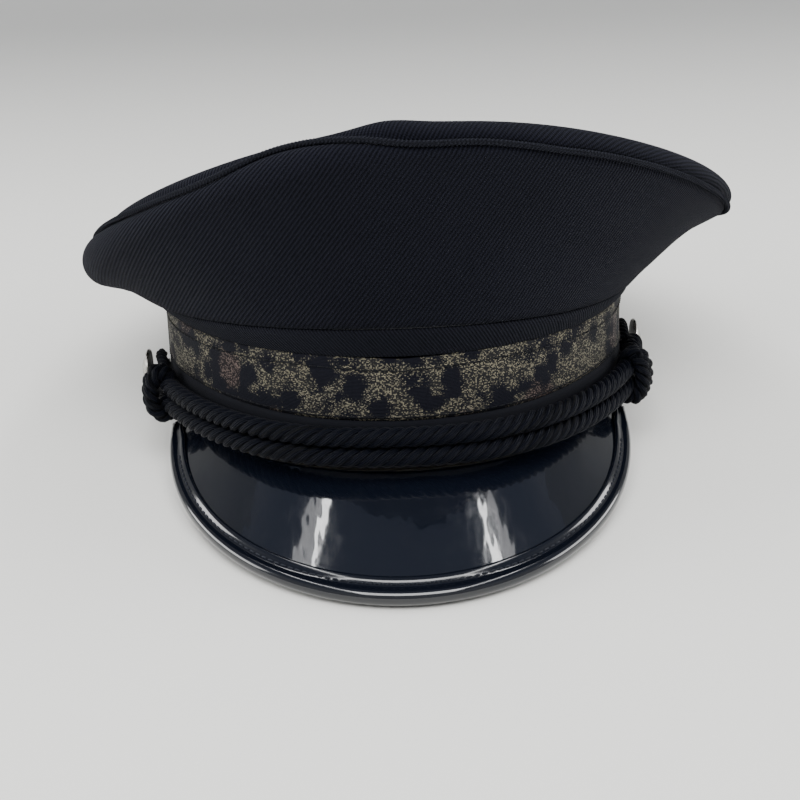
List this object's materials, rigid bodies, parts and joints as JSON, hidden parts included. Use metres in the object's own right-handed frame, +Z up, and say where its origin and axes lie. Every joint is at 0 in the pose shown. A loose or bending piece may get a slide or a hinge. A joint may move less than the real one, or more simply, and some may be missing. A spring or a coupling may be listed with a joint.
{
  "type": "military peaked cap",
  "caption": "Peaked cap with a raised oval crown on a rim wire, patterned cloth band, glossy visor, and twisted chin cords held by a button at each side.",
  "frame": {"origin": "bottom centre of the bounding box of the cap as it stands on a table, on the rear edge of its band and the tip of its visor", "axes": "+Z up from the table; the front and the visor face -Y; +X is on the right of somebody who looks at the front"},
  "size_m": [0.2538, 0.2857, 0.1507],
  "materials": {
    "crown_twill": "matt wool twill",
    "strip_twill": "matt twill",
    "piping_cloth": "ribbed bias cloth",
    "spring_steel": "bright spring steel",
    "foam": "soft felted foam",
    "lining_satin": "satin lining",
    "clear_vinyl": "clear flexible vinyl",
    "patterned_jacquard": "metallic jacquard",
    "welt_cloth": "smooth dark cloth",
    "buckram": "stiffened canvas",
    "sweatband_leather": "soft matt leather",
    "tab_cloth": "plain woven tab",
    "patent_leather": "high gloss",
    "patent_binding": "high gloss, rolled",
    "fibreboard": "pressed board",
    "visor_lining": "matt grained",
    "satin_rope": "satin twisted rope",
    "pewter": "antiqued pewter",
    "dark_metal": "blackened"
  },
  "bodies": {
    "cap": {"crown_top_panel": "crown_twill", "crown_front_panel": "crown_twill", "crown_rear_left_panel": "crown_twill", "crown_rear_right_panel": "crown_twill", "crown_lower_strip": "strip_twill", "crown_piping": "piping_cloth", "crown_ring_wire": "spring_steel", "crown_rim_roll": "foam", "crown_ring_ferrule": "spring_steel", "crown_front_pad": "foam", "crown_front_stay": "spring_steel", "lining_side": "lining_satin", "lining_top": "lining_satin", "sweat_shield": "clear_vinyl", "cap_band": "patterned_jacquard", "band_lower_welt": "welt_cloth", "band_stiffener": "buckram", "sweatband": "sweatband_leather", "sweatband_tab": "tab_cloth", "visor_top_skin": "patent_leather", "visor_board": "fibreboard", "visor_underside": "visor_lining", "visor_edge_binding": "patent_binding", "visor_flange": "fibreboard", "left_eyelet": "dark_metal", "right_eyelet": "dark_metal"},
    "chin_cord": {"chin_cord_upper": "satin_rope", "chin_cord_lower": "satin_rope", "left_cord_loop": "satin_rope", "right_cord_loop": "satin_rope"},
    "left_knot": {"left_slide_knot": "satin_rope"},
    "right_knot": {"right_slide_knot": "satin_rope"},
    "left_button": {"left_button_shell": "pewter", "left_button_back": "dark_metal", "left_button_shank": "dark_metal", "left_button_clip": "dark_metal"},
    "right_button": {"right_button_shell": "pewter", "right_button_back": "dark_metal", "right_button_shank": "dark_metal", "right_button_clip": "dark_metal"}
  },
  "joints": [
    {"name": "chin_cord_swing", "type": "hinge", "parent": "cap", "child": "chin_cord", "pos_m": [-0.00505, 0.00296, 0.02708], "axis": [-0.9949, -0.0996, 0.014], "range_deg": [0, 6]},
    {"name": "left_knot_slide", "type": "hinge", "parent": "chin_cord", "child": "left_knot", "pos_m": [0.01301, 0.00742, 0.02645], "axis": [0, 0.12, 0.9928], "range_deg": [-3, 7]},
    {"name": "right_knot_slide", "type": "hinge", "parent": "chin_cord", "child": "right_knot", "pos_m": [-0.02381, 0.00742, 0.02645], "axis": [0, -0.12, -0.9928], "range_deg": [-8, 7]},
    {"name": "left_button_spin", "type": "hinge", "parent": "cap", "child": "left_button", "pos_m": [-0.1014, -0.00645, 0.0284], "axis": [-1, 0, 0], "continuous": true},
    {"name": "right_button_spin", "type": "hinge", "parent": "cap", "child": "right_button", "pos_m": [0.0906, 0.01237, 0.02576], "axis": [1, 0, 0], "continuous": true}
  ]
}
